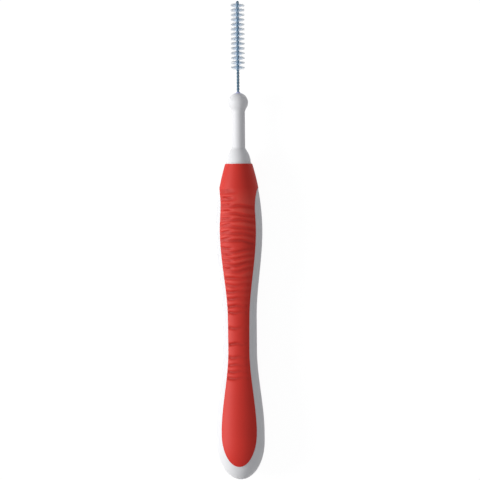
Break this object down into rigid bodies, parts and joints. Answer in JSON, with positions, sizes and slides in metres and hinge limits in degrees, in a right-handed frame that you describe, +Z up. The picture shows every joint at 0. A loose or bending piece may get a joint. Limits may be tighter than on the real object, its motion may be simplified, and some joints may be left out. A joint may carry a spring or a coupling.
{
  "type": "interdental brush",
  "caption": "Interdental brush: waisted handle with soft ribbed grip panels, slender neck with a round guard, and a twisted wire holding a helical nylon brush; neck and wire bend.",
  "frame": {"origin": "midway along the brush, under its middle, on the surface that its back lies on", "axes": "+X from the butt to the wire's tip, +Z up through the thumb side, Y across the handle"},
  "size_m": [0.1, 0.01, 0.0086],
  "materials": {
    "hard_plastic": "moulded white polypropylene, satin gloss",
    "soft_grip": "red thermoplastic elastomer, soft matt moulded face with ribs",
    "neck_plastic": "moulded white polypropylene, satin gloss",
    "coated_wire": "steel wire with a blue plastic coat",
    "nylon_filament": "drawn nylon filament, pale blue-white"
  },
  "bodies": {
    "handle": {"handle_core": "hard_plastic", "grip_sleeve": "soft_grip", "neck_stem": "neck_plastic", "anchor_wire": "coated_wire"},
    "neck_tip": {"guard_ball": "neck_plastic", "bare_wire": "coated_wire"},
    "brush": {"brush_wire": "coated_wire", "bristle_row_01": "nylon_filament", "bristle_row_02": "nylon_filament", "bristle_row_03": "nylon_filament", "bristle_row_04": "nylon_filament", "bristle_row_05": "nylon_filament", "bristle_row_06": "nylon_filament", "bristle_row_07": "nylon_filament", "bristle_row_08": "nylon_filament", "bristle_row_09": "nylon_filament", "bristle_row_10": "nylon_filament", "bristle_row_11": "nylon_filament", "bristle_row_12": "nylon_filament", "bristle_row_13": "nylon_filament", "bristle_row_14": "nylon_filament"}
  },
  "joints": [
    {"name": "neck_bend", "type": "hinge", "parent": "handle", "child": "neck_tip", "pos_m": [0.02326, 0, 0.0042], "axis": [0, 0, 1], "range_deg": [-30, 30], "deforming": ["neck_stem", "anchor_wire"]},
    {"name": "wire_bend", "type": "hinge", "parent": "neck_tip", "child": "brush", "pos_m": [0.03314, 0, 0.0042], "axis": [0, 0, 1], "range_deg": [-60, 60], "deforming": ["bare_wire"]}
  ]
}
